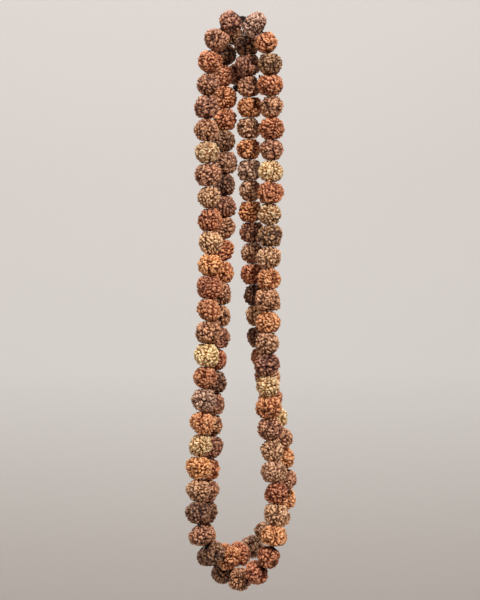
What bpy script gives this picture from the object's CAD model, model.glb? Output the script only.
"""Looks for a hanging mala: furrowed five-faced seed beads strung on a twisted dark thread.

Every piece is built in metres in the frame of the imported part: +Z up, front strands at -Y,
the nail's axis through the origin. Beads, thread and knots are surfaces on a grid of two
parameters, worked out as whole arrays.
"""

import logging
import math
from dataclasses import dataclass, field
from enum import Enum

import bpy
import numpy as np
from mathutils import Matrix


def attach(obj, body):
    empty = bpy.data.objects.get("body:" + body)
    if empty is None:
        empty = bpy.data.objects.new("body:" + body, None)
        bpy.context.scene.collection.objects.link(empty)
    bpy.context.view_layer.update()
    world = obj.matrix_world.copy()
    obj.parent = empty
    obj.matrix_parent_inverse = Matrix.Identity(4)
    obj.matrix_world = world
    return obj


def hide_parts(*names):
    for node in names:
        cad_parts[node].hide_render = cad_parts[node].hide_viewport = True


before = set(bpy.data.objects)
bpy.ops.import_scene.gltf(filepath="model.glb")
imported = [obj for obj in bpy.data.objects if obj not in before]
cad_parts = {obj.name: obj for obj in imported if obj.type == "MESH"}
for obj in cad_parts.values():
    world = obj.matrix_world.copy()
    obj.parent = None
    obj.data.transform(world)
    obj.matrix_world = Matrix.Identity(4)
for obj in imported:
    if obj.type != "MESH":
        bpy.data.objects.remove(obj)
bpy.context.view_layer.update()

MM = 0.001
ROOT_BODY = "thread_loop"
GURU_BODY = "guru_swing"
GURU_BEAD_BODY = "guru_bead"
log = logging.getLogger("mala")


# ---------------------------------------------------------------- small tools


def linear(hex_colour: str) -> tuple[float, float, float, float]:
    """Turns an sRGB hex colour into linear red, green, blue and alpha.

    Args:
        hex_colour: six hex digits after a hash.

    Returns:
        Linear red, green and blue as a socket takes them, with alpha 1.
    """
    parts = [int(hex_colour[i : i + 2], 16) / 255 for i in (1, 3, 5)]
    straight = [c / 12.92 if c <= 0.04045 else ((c + 0.055) / 1.055) ** 2.4 for c in parts]
    return (*straight, 1.0)


def add_node(
    tree: bpy.types.NodeTree, kind: str, settings: dict | None = None, **inputs: object
) -> bpy.types.Node:
    """Adds one shader node, with its settings and its inputs.

    Args:
        tree: the node tree that gets the node.
        kind: the type name of the node, without "ShaderNode".
        settings: attribute values of the node.
        **inputs: socket name, with "_" for a space, to a value or to another node's output.

    Returns:
        The new node.
    """
    made = tree.nodes.new("ShaderNode" + kind)
    for name, value in (settings or {}).items():
        setattr(made, name, value)
    for name, value in inputs.items():
        key = int(name[1:]) if name[0] == "i" and name[1:].isdigit() else name.replace("_", " ")
        socket = made.inputs[key]
        if isinstance(value, bpy.types.NodeSocket):
            tree.links.new(value, socket)
        else:
            socket.default_value = value
    return made


def unit(vectors: np.ndarray) -> np.ndarray:
    """Vectors over their own lengths, along the last axis."""
    return vectors / np.linalg.norm(vectors, axis=-1, keepdims=True)


def smoothstep(values: np.ndarray, low: float, high: float) -> np.ndarray:
    """A soft step: 3 x squared less 2 x cubed, where x runs 0 to 1 from low to high.

    Args:
        values: any array.
        low: where the step starts.
        high: where the step ends.

    Returns:
        An array of the same shape, from 0 to 1.
    """
    x = np.clip((values - low) / (high - low), 0, 1)
    return x * x * (3 - 2 * x)


def grid_piece(
    name: str,
    points: np.ndarray,
    attributes: dict[str, np.ndarray],
    material: bpy.types.Material,
    wrap_rows: bool,
) -> bpy.types.Object:
    """Makes a closed object from a grid of points whose columns always close on themselves.

    Args:
        name: the new object's name.
        points: rows by columns by 3, in metres.
        attributes: name to one number for each point, rows by columns.
        material: the object's material.
        wrap_rows: True where the last row also joins the first; else both ends get a centre point.

    Returns:
        The object, at the origin, with smooth shading.
    """
    rows, cols = points.shape[:2]
    index = np.arange(rows * cols).reshape(rows, cols)
    here = index if wrap_rows else index[:-1]
    below = np.roll(index, -1, axis=0) if wrap_rows else index[1:]
    quads = np.stack(
        [here, np.roll(here, -1, axis=1), np.roll(below, -1, axis=1), below], axis=-1
    ).reshape(-1, 4)
    corners, sizes = quads.ravel(), np.full(len(quads), 4)
    flat = points.reshape(-1, 3)
    extra = {key: values.ravel() for key, values in attributes.items()}
    if not wrap_rows:
        ends = np.stack([points[0].mean(axis=0), points[-1].mean(axis=0)])
        flat = np.concatenate([flat, ends])
        extra = {
            key: np.append(values, [values[0], values[-1]]) for key, values in extra.items()
        }
        first, last = rows * cols, rows * cols + 1
        fans = np.concatenate(
            [
                np.stack([np.full(cols, first), np.roll(index[0], -1), index[0]], axis=-1),
                np.stack([np.full(cols, last), index[-1], np.roll(index[-1], -1)], axis=-1),
            ]
        )
        corners = np.concatenate([corners, fans.ravel()])
        sizes = np.concatenate([sizes, np.full(len(fans), 3)])
    mesh = bpy.data.meshes.new(name)
    mesh.vertices.add(len(flat))
    mesh.vertices.foreach_set("co", flat.astype(np.float32).ravel())
    mesh.loops.add(len(corners))
    mesh.loops.foreach_set("vertex_index", corners.astype(np.int32))
    mesh.polygons.add(len(sizes))
    starts = np.concatenate([[0], np.cumsum(sizes)[:-1]])
    mesh.polygons.foreach_set("loop_start", starts.astype(np.int32))
    mesh.update(calc_edges=True)
    mesh.polygons.foreach_set("use_smooth", np.ones(len(sizes), dtype=bool))
    for key, values in extra.items():
        layer = mesh.attributes.new(key, "FLOAT", "POINT")
        layer.data.foreach_set("value", values.astype(np.float32))
    mesh.materials.append(material)
    made = bpy.data.objects.new(name, mesh)
    bpy.context.scene.collection.objects.link(made)
    return made


def wave_field(
    points: np.ndarray, wavelength: float, rng: np.random.Generator, waves: int = 40
) -> np.ndarray:
    """A smooth random field: a sum of cosines in random directions, scaled to spread 1.

    Args:
        points: any shape by 3, in metres.
        wavelength: the mean distance from crest to crest, in metres.
        rng: the seeded source of the directions and phases.
        waves: how many cosines are summed.

    Returns:
        One number for each point, mostly between -2 and 2.
    """
    directions = unit(rng.normal(size=(waves, 3)))
    rates = 2 * np.pi / wavelength * rng.uniform(0.75, 1.3, size=waves)
    phases = rng.uniform(0, 2 * np.pi, size=waves)
    angles = points @ (directions * rates[:, None]).T + phases
    return np.cos(angles).sum(axis=-1) * math.sqrt(2 / waves)


# ---------------------------------------------------------------- finishes


class Tone(Enum):
    """The seven tones that the seeds come in, by their letter in the stringing list."""

    UMBER = "u"
    CHESTNUT = "c"
    RUST = "r"
    ORANGE = "o"
    TAN = "t"
    STRAW = "s"
    ASH = "a"


@dataclass(frozen=True)
class SeedFinish:
    """Dried five-faced seed, brushed and lightly oiled: dirt-dark furrows under rubbed crests."""

    slot: str
    furrow: str
    body: str
    crest: str
    # Patches where the skin dried unevenly are about 3 mm across
    patch: float = 3 * MM
    # Pores and fibre are about 0.1 mm, drawn at 0.3 mm so that they show
    pore: float = 0.3 * MM

    def material(self) -> bpy.types.Material:
        """Builds the seed's material: relief picks the colour, patches and pores break it up.

        Returns:
            A material that reads the attributes "relief" and "cast" and Object coordinates.
        """
        made = bpy.data.materials.new(self.slot)
        made.use_nodes = True
        tree = made.node_tree
        tree.nodes.clear()
        place = add_node(tree, "TexCoord").outputs["Object"]
        relief = add_node(tree, "Attribute", {"attribute_name": "relief"}).outputs["Fac"]
        cast = add_node(tree, "Attribute", {"attribute_name": "cast"}).outputs["Fac"]
        patches = add_node(
            tree, "TexNoise", Vector=place, Scale=1 / self.patch, Detail=3.0, Roughness=0.55
        ).outputs["Fac"]
        pores = add_node(
            tree, "TexNoise", Vector=place, Scale=1 / self.pore, Detail=2.0, Roughness=0.6
        ).outputs["Fac"]
        broken = add_node(
            tree, "Math", {"operation": "MULTIPLY_ADD"}, i0=pores, i1=0.42, i2=relief
        ).outputs[0]
        level = add_node(
            tree, "Math", {"operation": "SUBTRACT"}, i0=broken, i1=0.2
        ).outputs[0]
        ramp = add_node(tree, "ValToRGB", Fac=level)
        stops = ramp.color_ramp.elements
        stops[0].position, stops[0].color = 0.18, linear(self.furrow)
        stops[1].position, stops[1].color = 0.95, linear(self.crest)
        stops.new(0.6).color = linear(self.body)
        uneven = add_node(
            tree, "MapRange", Value=patches, From_Min=0.3, From_Max=0.7, To_Min=0.72, To_Max=1.22
        ).outputs[0]
        bright = add_node(
            tree, "Math", {"operation": "MULTIPLY_ADD"}, i0=cast, i1=0.22, i2=uneven
        ).outputs[0]
        hue = add_node(
            tree, "Math", {"operation": "MULTIPLY_ADD"}, i0=cast, i1=0.008, i2=0.495
        ).outputs[0]
        shade = add_node(
            tree,
            "HueSaturation",
            Hue=hue,
            Saturation=1.06,
            Value=bright,
            Color=ramp.outputs["Color"],
        ).outputs["Color"]
        rough = add_node(
            tree, "MapRange", Value=relief, From_Min=0.2, From_Max=0.95, To_Min=0.85, To_Max=0.34
        ).outputs[0]
        bump = add_node(
            tree, "Bump", Strength=0.6, Distance=0.11 * MM, Height=pores
        ).outputs["Normal"]
        shader = add_node(
            tree,
            "BsdfPrincipled",
            Base_Color=shade,
            Roughness=rough,
            IOR=1.5,
            Normal=bump,
        )
        add_node(tree, "OutputMaterial", Surface=shader.outputs["BSDF"])
        return made


SEED_FINISHES = {
    Tone.UMBER: SeedFinish("seed_umber", "#1e0c04", "#603a26", "#b58a66"),
    Tone.CHESTNUT: SeedFinish("seed_chestnut", "#2c1006", "#845338", "#dda680"),
    Tone.RUST: SeedFinish("seed_rust", "#331105", "#985431", "#e9a67a"),
    Tone.ORANGE: SeedFinish("seed_orange", "#451b08", "#b26c40", "#fbbd8a"),
    Tone.TAN: SeedFinish("seed_tan", "#3c1c0b", "#a2714d", "#f3c59a"),
    Tone.STRAW: SeedFinish("seed_straw", "#522f16", "#c2905c", "#ffe2b2"),
    Tone.ASH: SeedFinish("seed_ash", "#32190d", "#926a52", "#e4bd9f"),
}


@dataclass(frozen=True)
class ThreadFinish:
    """Waxed polyester beading thread in two plies: dull near-black brown with a faint sheen."""

    slot: str = "thread"
    hollow: str = "#120b09"
    ply: str = "#3a2722"
    # Fibres are about 0.02 mm, drawn at 0.08 mm so that they show
    fibre: float = 0.08 * MM

    def material(self) -> bpy.types.Material:
        """Builds the thread's material: dark between the plies, with fibres along them.

        Returns:
            A material that reads the attribute "relief" and Object coordinates.
        """
        made = bpy.data.materials.new(self.slot)
        made.use_nodes = True
        tree = made.node_tree
        tree.nodes.clear()
        place = add_node(tree, "TexCoord").outputs["Object"]
        relief = add_node(tree, "Attribute", {"attribute_name": "relief"}).outputs["Fac"]
        fibres = add_node(
            tree, "TexNoise", Vector=place, Scale=1 / self.fibre, Detail=2.0
        ).outputs["Fac"]
        ramp = add_node(tree, "ValToRGB", Fac=relief)
        ramp.color_ramp.elements[0].color = linear(self.hollow)
        ramp.color_ramp.elements[1].color = linear(self.ply)
        bump = add_node(
            tree, "Bump", Strength=0.4, Distance=0.02 * MM, Height=fibres
        ).outputs["Normal"]
        shader = add_node(
            tree,
            "BsdfPrincipled",
            Base_Color=ramp.outputs["Color"],
            Roughness=0.62,
            Normal=bump,
        )
        add_node(tree, "OutputMaterial", Surface=shader.outputs["BSDF"])
        return made


# ---------------------------------------------------------------- the thread's route


@dataclass(frozen=True)
class Strand:
    """One row of the stringing list: beads of one length with one gap, in straight links."""

    name: str
    beads: int
    links: int
    longer: float
    gap: float
    end_radius: float = 5.2
    tones: str = ""

    def link_beads(self) -> list[int]:
        """How many beads each of the strand's links carries, shared out evenly."""
        cuts = [math.floor(j * self.beads / self.links) for j in range(self.links + 1)]
        return [b - a for a, b in zip(cuts, cuts[1:])]


@dataclass(frozen=True)
class Link:
    """One straight stretch of thread, with the beads it carries."""

    strand: Strand
    node: str
    first: int
    beads: int
    start: np.ndarray
    end: np.ndarray


@dataclass
class Route:
    """The thread's path, the same as the part's: smooth through the points below, in mm."""

    bead_length: float = 7.9
    knot_run: float = 3.0
    steps: int = 12
    strands: tuple[Strand, ...] = (
        Strand("back_left_top", 2, 2, -0.2, 0.8, 5.2, "uu"),
        Strand("back_left", 21, 8, 0.1, 0.2, 12.0, "orrutuccrrcccrucccrcu"),
        Strand("outer_foot", 6, 6, -0.4, 1.1, 5.2, "cuucrr"),
        Strand("front_right", 23, 8, -0.15, 0.2, 12.0, "otrttcrsctocotusrscrcru"),
        Strand("front_right_top", 2, 2, -0.4, 0.8, 5.2, "ra"),
        Strand("nail", 0, 1, 0.0, 1.8),
        Strand("front_left_top", 3, 3, -0.1, 0.8, 5.2, "ccr"),
        Strand("front_left", 20, 8, 0.25, 0.2, 12.0, "cccsctrtorocsoaosotu"),
        Strand("front_left_low", 2, 2, -0.4, 1.1, 5.2, "cu"),
        Strand("inner_foot", 7, 7, -0.4, 1.1, 5.2, "rratooc"),
        Strand("back_right", 21, 8, -0.3, 0.2, 12.0, "ocsocruturtcrtartrccu"),
    )
    points: tuple[tuple[float, float, float], ...] = (
        (0, 5.5, 0.5), (-4.5, 9, -3), (-7, 10, -11), (-7, 8, -25),
        (-7.5, 6, -80), (-12, 5.5, -155), (-14, 6, -180),
        (-14.5, 8, -192), (-13, 9, -201), (-8, 8, -207), (-0.5, 2, -209),
        (6.5, -4, -204.5), (11, -6.5, -196),
        (12.5, -5.5, -183), (9, -5, -141), (9, -5.5, -122), (10, -5, -75),
        (10.5, -5, -26), (9, -5, -9), (5, -5, -2),
        (0, -5, 0.5),
        (-5, -5, 0), (-9, -5, -6), (-12, -5, -14), (-13.5, -5.5, -45),
        (-12, -5, -85), (-13.5, -5.5, -128), (-17, -5.5, -176), (-16.5, -6.5, -188),
        (-13.5, -7, -195.5), (-9, -4, -199.5), (-4.5, 3.5, -200), (0, 11, -199.5),
        (5, 17.5, -197), (11, 19, -191), (15, 14.5, -183), (16, 8, -172),
        (5, 5.5, -109), (2.5, 5, -56), (2.5, 2.5, -22), (2, 1, -10), (0, 5.5, 0.5),
    )

    def path(self) -> np.ndarray:
        """The smooth curve: a Catmull-Rom blend with knots at the square roots of the steps.

        Returns:
            Points along the curve, in millimetres.
        """
        p = np.array(self.points, dtype=float)
        q = np.concatenate([[2 * p[0] - p[1]], p, [2 * p[-1] - p[-2]]])
        a, b, c, d = (q[i : i + len(p) - 1, None, :] for i in range(4))
        t1 = np.sqrt(np.linalg.norm(b - a, axis=-1, keepdims=True))
        t2 = t1 + np.sqrt(np.linalg.norm(c - b, axis=-1, keepdims=True))
        t3 = t2 + np.sqrt(np.linalg.norm(d - c, axis=-1, keepdims=True))
        t = t1 + (t2 - t1) * (np.arange(self.steps) / self.steps)[None, :, None]
        ab = ((t1 - t) * a + t * b) / t1
        bc = ((t2 - t) * b + (t - t1) * c) / (t2 - t1)
        cd = ((t3 - t) * c + (t - t2) * d) / (t3 - t2)
        near = ((t2 - t) * ab + t * bc) / t2
        far = ((t3 - t) * bc + (t - t1) * cd) / (t3 - t1)
        curve = ((t2 - t) * near + (t - t1) * far) / (t2 - t1)
        return np.concatenate([curve.reshape(-1, 3), p[-1:]])

    def lay(self, lengths: list[float]) -> np.ndarray:
        """Lays straight links along the path, each starting where the last one ended.

        Args:
            lengths: the length of each link, in millimetres, after the run from the knot.

        Returns:
            The ends of the links, one more than there are links, in millimetres.
        """
        path = self.path()
        step, ends = 0, [path[0]]
        for length in [self.knot_run, *lengths]:
            away = np.linalg.norm(path[step + 1 :] - ends[-1], axis=1)
            step += int(np.argmax(away >= length))
            run, back = path[step + 1] - path[step], path[step] - ends[-1]
            a, b, c = run @ run, back @ run, back @ back - length * length
            ends.append(path[step] + run * (math.sqrt(b * b - a * c) - b) / a)
        return np.array(ends[1:])

    def links(self) -> list[Link]:
        """All the links in stringing order, with their ends in metres.

        Returns:
            The links; the one over the nail carries no bead.
        """
        plan = [(s, j, n) for s in self.strands for j, n in enumerate(s.link_beads())]
        lengths = [n * (self.bead_length + s.longer) + max(n, 1) * s.gap for s, _, n in plan]
        ends = self.lay(lengths) * MM
        return [
            Link(s, f"{s.name}_{j + 1}", sum(s.link_beads()[:j]), n, ends[k], ends[k + 1])
            for k, (s, j, n) in enumerate(plan)
        ]


# ---------------------------------------------------------------- thread and knots


@dataclass
class TwistedThread:
    """Two plies laid round each other: the section is two bulges that turn along the thread."""

    width: float = 0.8 * MM
    twist_length: float = 2.4 * MM
    ring_gap: float = 0.32 * MM
    sides: int = 14
    corner: float = 1.5 * MM
    # Most of a side that one corner may use up, and how far the section draws in between plies
    corner_share: float = 0.45
    ply_depth: float = 0.26

    def rounded(self, corners: np.ndarray, closed_in: int = 6) -> np.ndarray:
        """Rounds each inner corner of a line by a quadratic curve between its two sides.

        Args:
            corners: the line's points, in metres.
            closed_in: how many steps each corner gets.

        Returns:
            The rounded line's points.
        """
        before, here, after = corners[:-2], corners[1:-1], corners[2:]
        cut = np.minimum(
            self.corner,
            self.corner_share
            * np.minimum(
                np.linalg.norm(here - before, axis=1), np.linalg.norm(after - here, axis=1)
            ),
        )[:, None]
        start, end = here + unit(before - here) * cut, here + unit(after - here) * cut
        u = np.linspace(0, 1, closed_in)[None, :, None]
        bends = (
            (1 - u) ** 2 * start[:, None]
            + 2 * u * (1 - u) * here[:, None]
            + u * u * end[:, None]
        )
        return np.concatenate([corners[:1], bends.reshape(-1, 3), corners[-1:]])

    def resampled(self, line: np.ndarray) -> np.ndarray:
        """The same line with evenly spaced points, about one ring gap apart.

        Args:
            line: the line's points, in metres.

        Returns:
            The new points, at least four, with both ends kept.
        """
        steps = np.linalg.norm(np.diff(line, axis=0), axis=1)
        along = np.concatenate([[0], np.cumsum(steps)])
        wanted = np.linspace(0, along[-1], max(4, round(along[-1] / self.ring_gap)))
        return np.stack([np.interp(wanted, along, line[:, i]) for i in range(3)], axis=1)

    def surface(
        self, line: np.ndarray, closed: bool = False, taper: float = 0.0
    ) -> tuple[np.ndarray, np.ndarray]:
        """Carries the twisted section along a line.

        The section's radius at angle a is half the width, less a share that follows the
        square of the sine of (a less the twist), so there are two plies.

        Args:
            line: the centre line, in metres, evenly spaced.
            closed: True where the line's last point leads back to its first.
            taper: length over which the last end thins out, in metres.

        Returns:
            The grid of points and the relief at each: 1 on a ply, 0 between the plies.
        """
        if closed:
            tangent = unit(np.roll(line, -1, axis=0) - np.roll(line, 1, axis=0))
        else:
            tangent = unit(np.gradient(line, axis=0))
        side = unit(np.cross(tangent, [0.08, 1.0, 0.05]))
        up = np.cross(tangent, side)
        steps = np.linalg.norm(np.diff(line, axis=0), axis=1)
        along = np.concatenate([[0], np.cumsum(steps)])
        turns = along / self.twist_length
        if closed:
            whole = along[-1] + np.linalg.norm(line[0] - line[-1])
            turns = along / whole * round(whole / self.twist_length)
        angle = np.linspace(0, 2 * np.pi, self.sides, endpoint=False)[None, :]
        valley = np.sin(angle - 2 * np.pi * turns[:, None]) ** 2
        radius = self.width / 2 * (1 - self.ply_depth * valley**2)
        if taper:
            radius = radius * smoothstep(along[-1] - along, -0.3 * taper, taper)[:, None]
        points = (
            line[:, None]
            + (side[:, None] * np.cos(angle)[..., None] + up[:, None] * np.sin(angle)[..., None])
            * radius[..., None]
        )
        return points, 1 - valley**2

    def piece(
        self,
        name: str,
        line: np.ndarray,
        material: bpy.types.Material,
        closed: bool = False,
        taper: float = 0.0,
    ) -> bpy.types.Object:
        """Builds a thread along a line and dresses it.

        Args:
            name: the object's name.
            line: the centre line, in metres, evenly spaced.
            material: the thread's material.
            closed: True for a ring.
            taper: length over which the last end thins out, in metres.

        Returns:
            The thread's object.
        """
        points, relief = self.surface(line, closed, taper)
        return grid_piece(name, points, {"relief": relief}, material, wrap_rows=closed)


@dataclass
class Knot:
    """A tight overhand knot: a trefoil of thread drawn close about its middle."""

    centre: np.ndarray
    reach: float = 1.05 * MM
    thread: TwistedThread = field(default_factory=lambda: TwistedThread(width=0.72 * MM))
    steps: int = 90

    def line(self) -> np.ndarray:
        """The trefoil: sin t + 2 sin 2t across, -1.5 sin 3t deep and cos t - 2 cos 2t up.

        Returns:
            The knot's closed centre line, in metres, its three lobes scaled to the reach.
        """
        t = np.linspace(0, 2 * np.pi, self.steps, endpoint=False)
        trefoil = np.stack(
            [
                np.sin(t) + 2 * np.sin(2 * t),
                -1.5 * np.sin(3 * t),
                np.cos(t) - 2 * np.cos(2 * t),
            ],
            axis=1,
        )
        return self.centre + trefoil / 3 * self.reach

    def build(self, name: str, material: bpy.types.Material) -> bpy.types.Object:
        """Builds the knot as one closed ring of thread."""
        return self.thread.piece(name, self.line(), material, closed=True)


# ---------------------------------------------------------------- beads


@dataclass(frozen=True)
class SeedBead:
    """A five-faced seed, bored end to end: lobes between five furrows, knobbly all over.

    All sizes are in metres.
    """

    length: float
    width: float
    end_radius: float
    seed: int
    bore: float = 1.8 * MM
    faces: int = 5
    rows: int = 62
    bore_rows: int = 5
    cols: int = 108
    knob: float = 2.3 * MM
    knob_depth: float = 1.05 * MM
    grain: float = 1.05 * MM
    grain_depth: float = 0.44 * MM
    furrow_depth: float = 0.45 * MM
    furrow_width: float = 0.24 * MM
    lobe_depth: float = 0.3 * MM
    proud: float = 0.55 * MM
    out_of_round: float = 0.3 * MM
    end_fill: float = 0.1 * MM
    # Height and slope of the cone that each end keeps inside, at the top and at the foot
    top_room: tuple[float, float] = (1.0, 0.0)
    low_room: tuple[float, float] = (1.0, 0.0)

    def outer(self, polar: np.ndarray) -> np.ndarray:
        """Distance from the middle to the plain bead, the nearest of three spheres' walls.

        Args:
            polar: angles from the bore's axis.

        Returns:
            The distances, in metres.
        """
        shift = self.end_radius - self.length / 2
        balls = ((0.0, self.width / 2), (shift, self.end_radius), (-shift, self.end_radius))
        reach = [
            c * np.cos(polar) + np.sqrt(r * r - (c * np.sin(polar)) ** 2) for c, r in balls
        ]
        return np.min(reach, axis=0)

    def surface(self) -> tuple[np.ndarray, np.ndarray]:
        """Works out the bead about its own middle, with its bore along Z.

        Out along each direction, the plain bead's distance is lowered between knobs, which
        are peaks parted where a random field crosses zero, at five furrows, which run from
        end to end and wander a little, and toward each furrow, so that five lobes swell. A
        broad field makes it out of round, and its ends fill out toward the next bead. Each
        end is pressed flat where it would pass a cone about the thread: its height less the
        distance from the thread times its slope, so that a bead still turns beside the next.

        Returns:
            The grid of points, rows by columns by 3, and the relief, from 0 to 1.
        """
        rng = np.random.default_rng(self.seed)
        rim = math.atan2(self.bore / 2, self.length / 2)
        polar = np.linspace(rim, np.pi - rim, self.rows)[:, None]
        around = np.linspace(0, 2 * np.pi, self.cols, endpoint=False)[None, :]
        way = np.stack(
            np.broadcast_arrays(
                np.sin(polar) * np.cos(around), np.sin(polar) * np.sin(around), np.cos(polar)
            ),
            axis=-1,
        )
        plain = self.outer(polar)
        at = way * plain[..., None]
        field_a = wave_field(at, self.knob, rng)
        field_b = wave_field(at, self.grain, rng)
        swell = np.tanh(wave_field(at, 9 * MM, rng, 12))
        knobs = 1 - np.exp(-np.abs(field_a + 0.2 * field_b) / 0.5)
        grain = 0.5 + 0.5 * np.tanh(1.2 * field_b)

        wander = (
            rng.uniform(0.05, 0.3) * np.sin(2 * polar + rng.uniform(0, 6)) + rng.uniform(0, 6)
        )
        off_axis = plain * np.sin(polar)
        pitch = 2 * np.pi / self.faces
        off_line = np.mod(around + wander + pitch / 2, pitch) - pitch / 2
        lobe = np.abs(2 * off_line / pitch)
        off_line = off_line * off_axis + 0.14 * MM * field_b
        furrow = np.exp(-((off_line / self.furrow_width) ** 2))

        inward = smoothstep(off_axis, self.bore / 2, self.bore / 2 + 0.5 * MM)
        shoulder = 0.35 + 0.65 * smoothstep(off_axis, self.bore / 2, 3.2 * MM)
        depth = shoulder * (
            self.knob_depth * (1 - knobs)
            + self.grain_depth * (1 - grain)
            + self.furrow_depth * furrow
            + self.lobe_depth * (1 - lobe) ** 3
        )
        end = 1 - smoothstep(off_axis, self.bore / 2, 3.0 * MM)
        lift = shoulder * (self.proud + self.out_of_round * swell) + end * self.end_fill
        distance = plain + inward * (lift - depth) + (1 - inward) * self.end_fill
        shape = way * distance[..., None]
        off = distance * np.sin(polar)
        top_limit = self.top_room[0] - self.top_room[1] * off
        low_limit = self.low_room[0] - self.low_room[1] * off
        shape[..., 2] = np.clip(shape[..., 2], -low_limit, top_limit)
        relief = (0.1 + 0.9 * knobs) * (0.45 + 0.55 * grain) * (1 - 0.6 * furrow)
        relief = np.clip(1.35 * relief * (0.4 + 0.6 * inward), 0, 1)

        top, low = shape[0], shape[-1]
        share = np.linspace(0, 1, self.bore_rows + 2)[1:-1, None, None]
        wall = low[None] * (1 - share) + top[None] * share
        points = np.concatenate([shape, wall])
        relief = np.concatenate([relief, np.full((self.bore_rows, self.cols), 0.05)])
        return points, relief

    def build(
        self,
        name: str,
        centre: np.ndarray,
        axis: np.ndarray,
        spin: float,
        cast: float,
        material: bpy.types.Material,
    ) -> bpy.types.Object:
        """Builds the bead where it hangs.

        Args:
            name: the object's name.
            centre: the bead's middle, in metres.
            axis: unit vector along the thread.
            spin: how far the bead is turned about the thread, in radians.
            cast: lighter or darker than its tone, from -1 to 1.
            material: the seed's material.

        Returns:
            The bead's object.
        """
        points, relief = self.surface()
        side = unit(np.cross(axis, [0.2, 1.0, 0.1]))
        up = np.cross(axis, side)
        right = math.cos(spin) * side + math.sin(spin) * up
        turn = np.stack([right, np.cross(axis, right), axis])
        placed = centre + points @ turn
        shades = {"relief": relief, "cast": np.full(relief.shape, cast)}
        return grid_piece(name, placed, shades, material, wrap_rows=True)


# ---------------------------------------------------------------- sub-assemblies


@dataclass
class StrungLoop:
    """The thread with its 107 beads and the closing knot."""

    route: Route
    thread_material: bpy.types.Material
    seed_materials: dict[Tone, bpy.types.Material]
    thread: TwistedThread = field(default_factory=TwistedThread)
    bead_width: float = 8.65
    width_spread: float = 0.5
    golden_turn: float = 137.5
    # Share of the gap that each bead's end swells into, and what is kept clear of the next bead
    end_fill: float = 0.45
    end_clear: float = 0.03 * MM
    knot_stop: float = 0.77 * MM

    def build_thread(self) -> bpy.types.Object:
        """Builds the whole thread from the closing knot round to the closing knot.

        Returns:
            The thread's object, declared as a cord.
        """
        links = self.route.links()
        knot = np.array(self.route.points[0]) * MM
        ends = np.array([link.start for link in links] + [links[-1].end])
        first = knot + unit(ends[0] - knot) * self.knot_stop
        last = knot + unit(ends[-1] - knot) * self.knot_stop
        line = self.thread.resampled(
            self.thread.rounded(np.concatenate([[first], ends, [last]]))
        )
        made = self.thread.piece("thread", line, self.thread_material)
        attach(made, ROOT_BODY)
        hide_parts("cord")
        return made

    def build_knot(self) -> bpy.types.Object:
        """Builds the closing knot behind the nail.

        Returns:
            The knot's object.
        """
        made = Knot(np.array(self.route.points[0]) * MM).build(
            "closing_knot_tied", self.thread_material
        )
        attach(made, ROOT_BODY)
        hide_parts("closing_knot")
        log.info("closing knot")
        return made

    def build_beads(self) -> int:
        """Builds every strung bead on its link.

        A link's end cones slope by the tangent of half the bend between it and its neighbour,
        which is the square root of (1 - c) over (1 + c), where c is the cosine of the bend.

        Returns:
            How many beads were made.
        """
        rng = np.random.default_rng(108)
        number = 0
        links = self.route.links()
        axes = unit(np.array([link.end - link.start for link in links]))
        cosines = (axes[1:] * axes[:-1]).sum(axis=1)
        slopes = np.concatenate([[0], np.sqrt((1 - cosines) / (1 + cosines)), [0]])
        for k, (link, axis) in enumerate(zip(links, axes)):
            length = (self.route.bead_length + link.strand.longer) * MM
            pitch = length + link.strand.gap * MM
            room = pitch / 2 - self.end_clear
            for i in range(link.beads):
                at_end, at_start = i == link.beads - 1, i == 0
                wave = math.sin(math.radians(self.golden_turn * number))
                width = (self.bead_width + self.width_spread * wave) * MM
                tone = Tone(link.strand.tones[link.first + i])
                made = SeedBead(
                    length,
                    width,
                    link.strand.end_radius * MM,
                    seed=1000 + number,
                    end_fill=self.end_fill * link.strand.gap * MM,
                    top_room=(room, slopes[k + 1] if at_end else 0.0),
                    low_room=(room, slopes[k] if at_start else 0.0),
                ).build(
                    f"{link.node}_bead_{i + 1}",
                    link.start + axis * (i + 0.5) * pitch,
                    axis,
                    rng.uniform(0, 2 * np.pi),
                    rng.uniform(-1, 1),
                    self.seed_materials[tone],
                )
                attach(made, link.node)
                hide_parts(link.node)
                number += 1
            if link.beads:
                log.info("%s: %d beads", link.node, link.beads)
        return number


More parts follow.
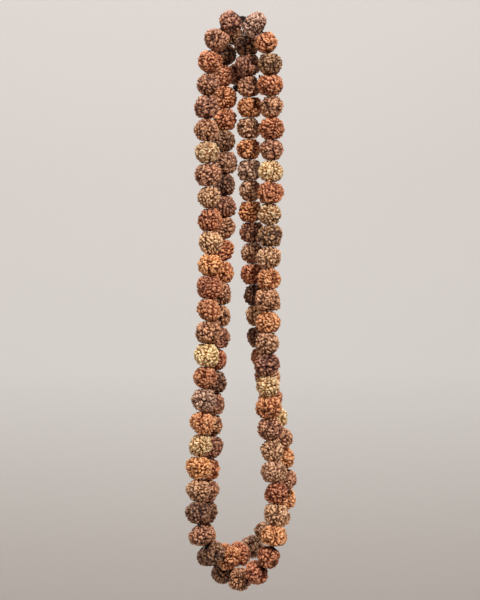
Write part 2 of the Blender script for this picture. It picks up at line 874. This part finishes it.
@dataclass
class GuruDrop:
    """The guru bead on its own thread behind the strands, with its finishing knot and ends."""

    thread_material: bpy.types.Material
    seed_material: bpy.types.Material
    thread: TwistedThread = field(default_factory=TwistedThread)
    knot_centre: tuple[float, float, float] = (0, 5.5, 0.5)
    points: tuple[tuple[float, float, float], ...] = (
        (0, 7.3, 0), (0.3, 10.5, -1.5), (0.2, 13.2, -5), (-0.5, 15.2, -9),
        (-1.2, 16.2, -13), (-2.6, 16.8, -24),
    )
    long_end: tuple[tuple[float, float, float], ...] = (
        (-2.6, 16.8, -24), (-1.2, 16.6, -26), (1.8, 15, -26.8), (4.6, 12, -25.2),
        (6.4, 9.4, -22.4), (6.2, 8.2, -19.6),
    )
    short_end: tuple[tuple[float, float, float], ...] = (
        (-2.6, 16.8, -24), (-3.2, 17.2, -26), (-4.4, 17.4, -28.2),
    )
    length: float = 7.6
    width: float = 8.8
    end_radius: float = 12.0
    knot_width: float = 2.56
    bore: float = 1.8
    clearance: float = 0.3

    def place(self, made: bpy.types.Object, body: str, node: str, slot: str) -> None:
        """Makes a piece ride on a body and stand for a node.

        Args:
            made: the piece.
            body: the body it moves with.
            node: the plain node that it stands for.
            slot: its finish in the record.
        """
        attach(made, body)
        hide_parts(node)
        log.info("%s", made.name)

    def build(self) -> None:
        """Builds the thread, the bead, the knot and the two ends."""
        line = np.array((self.knot_centre, *self.points)) * MM
        drop = self.thread.resampled(self.thread.rounded(line))
        made = self.thread.piece("guru_thread_twisted", drop, self.thread_material)
        self.place(made, GURU_BODY, "guru_thread", "thread")

        low, top = line[-1], line[-2]
        axis = unit(top - low)
        seat = (
            self.length / 2 + math.sqrt(self.knot_width**2 - self.bore**2) / 2 + self.clearance
        ) * MM
        made = SeedBead(
            self.length * MM, self.width * MM, self.end_radius * MM, seed=999
        ).build(
            "guru_bead_seed", low + axis * seat, axis, 0.4, -0.4, self.seed_material
        )
        self.place(made, GURU_BEAD_BODY, "guru_bead", SEED_FINISHES[Tone.CHESTNUT].slot)

        made = Knot(low).build("guru_knot_tied", self.thread_material)
        self.place(made, GURU_BODY, "guru_knot", "thread")
        for name, points in (("long_end", self.long_end), ("short_end", self.short_end)):
            tail = self.thread.resampled(self.thread.rounded(np.array(points) * MM))
            made = self.thread.piece(name, tail, self.thread_material, taper=0.9 * MM)
            self.place(made, GURU_BODY, "thread_ends", "thread")


@dataclass
class Studio:
    """A pale sweep, soft lamps and the camera that looks along +Y."""

    sweep_high: str = "#f4eeea"
    sweep_mid: str = "#f7f3ef"
    sweep_low: str = "#cdc5be"
    camera_away: float = 0.9
    sensor_mm: float = 36.0
    # The frame's height is measured this far in front of the nail's axis, at the front strands
    front_depth: float = 0.005
    view_height: float = 0.222
    view_centre: tuple[float, float] = (-0.0011, -0.1043)
    floor_z: float = -0.75
    floor_reach: float = 3.0
    sweep_radius: float = 0.4
    sweep_start: float = 1.1
    # Heights between which the paper turns from its low to its high colour
    fade_heights: tuple[float, float] = (-0.42, 0.19)

    def build_camera(self) -> None:
        """Builds the camera: its frame is 222 mm high at the front strands."""
        data = bpy.data.cameras.new("camera")
        data.sensor_fit = "VERTICAL"
        data.sensor_height = self.sensor_mm
        data.lens = self.sensor_mm * (self.camera_away - self.front_depth) / self.view_height
        data.clip_start, data.clip_end = 0.01, 20.0
        camera = bpy.data.objects.new("camera", data)
        camera.location = (self.view_centre[0], -self.camera_away, self.view_centre[1])
        camera.rotation_euler = (math.pi / 2, 0, 0)
        bpy.context.scene.collection.objects.link(camera)
        bpy.context.scene.camera = camera

    def build_sweep(self) -> None:
        """Builds the floor, which rises behind in a quarter round into a wall."""
        turn = np.linspace(0, np.pi / 2, 24)
        reach, radius, start = self.floor_reach, self.sweep_radius, self.sweep_start
        profile = np.concatenate(
            [
                [[-reach, 0.0]],
                np.stack([start + radius * np.sin(turn), radius - radius * np.cos(turn)], axis=1),
                [[start + radius, reach]],
            ]
        )
        across = np.array([-reach, reach])
        grid = np.zeros((len(profile), 2, 3))
        grid[..., 0] = across[None, :]
        grid[..., 1] = profile[:, :1]
        grid[..., 2] = profile[:, 1:] + self.floor_z
        index = np.arange(len(profile) * 2).reshape(-1, 2)
        faces = np.stack([index[:-1, 0], index[:-1, 1], index[1:, 1], index[1:, 0]], axis=1)
        mesh = bpy.data.meshes.new("sweep")
        mesh.from_pydata(grid.reshape(-1, 3).tolist(), [], faces.tolist())
        mesh.polygons.foreach_set("use_smooth", np.ones(len(faces), dtype=bool))
        paper = bpy.data.materials.new("pale_paper")
        paper.use_nodes = True
        tree = paper.node_tree
        place = add_node(tree, "TexCoord").outputs["Object"]
        height = add_node(tree, "SeparateXYZ", Vector=place).outputs["Z"]
        low, high = self.fade_heights
        share = add_node(tree, "MapRange", Value=height, From_Min=low, From_Max=high).outputs[0]
        ramp = add_node(tree, "ValToRGB", Fac=share)
        stops = ramp.color_ramp.elements
        stops[0].color = linear(self.sweep_low)
        stops[1].position, stops[1].color = 0.72, linear(self.sweep_high)
        stops.new(0.4).color = linear(self.sweep_mid)
        shader = tree.nodes["Principled BSDF"]
        tree.links.new(ramp.outputs["Color"], shader.inputs["Base Color"])
        shader.inputs["Roughness"].default_value = 0.9
        mesh.materials.append(paper)
        made = bpy.data.objects.new("sweep", mesh)
        bpy.context.scene.collection.objects.link(made)

    def lamp(
        self,
        name: str,
        place: tuple[float, float, float],
        aim: tuple[float, float, float],
        size: float,
        watts: float,
    ) -> None:
        """Adds a square soft lamp.

        Args:
            name: the lamp's name.
            place: where it stands, in metres.
            aim: the point that it faces, in metres.
            size: its width, in metres.
            watts: its power.
        """
        data = bpy.data.lights.new(name, "AREA")
        data.size, data.energy = size, watts
        made = bpy.data.objects.new(name, data)
        made.location = place
        away = np.array(place) - np.array(aim)
        flat = math.hypot(away[0], away[1])
        made.rotation_euler = (math.atan2(flat, away[2]), 0, math.atan2(away[0], -away[1]))
        bpy.context.scene.collection.objects.link(made)

    def build_lights(self) -> None:
        """Adds a key above in front, a weaker fill from the left and a wash on the wall.

        The world lights the mala weakly, but looks paler than that where the sweep ends.
        """
        self.lamp("key", (0.3, -0.75, 0.66), (0, 0, -0.08), 0.18, 10.7)
        self.lamp("fill", (-0.8, -0.8, 0.15), (0, 0, -0.12), 0.5, 1.9)
        self.lamp("wash", (-0.15, 0.15, 1.3), (0, 1.0, -0.2), 1.0, 19.6)
        world = bpy.data.worlds.new("studio")
        world.use_nodes = True
        tree = world.node_tree
        seen = add_node(tree, "LightPath").outputs["Is Camera Ray"]
        strength = add_node(tree, "MapRange", Value=seen, To_Min=0.13, To_Max=0.6).outputs[0]
        back = tree.nodes["Background"]
        back.inputs["Color"].default_value = linear("#f1ece8")
        tree.links.new(strength, back.inputs["Strength"])
        bpy.context.scene.world = world
        bpy.context.scene.view_settings.view_transform = "Standard"


def main() -> None:
    """Builds the camera, the thread, the beads, the guru drop and the studio, in that order."""
    logging.basicConfig(level=logging.INFO, format="%(name)s: %(message)s")
    studio = Studio()
    studio.build_camera()
    thread_material = ThreadFinish().material()
    seed_materials = {tone: finish.material() for tone, finish in SEED_FINISHES.items()}
    loop = StrungLoop(Route(), thread_material, seed_materials)
    loop.build_thread()
    loop.build_knot()
    log.info("%d strung beads", loop.build_beads())
    GuruDrop(thread_material, seed_materials[Tone.CHESTNUT]).build()
    studio.build_sweep()
    studio.build_lights()


if __name__ == "__main__":
    main()
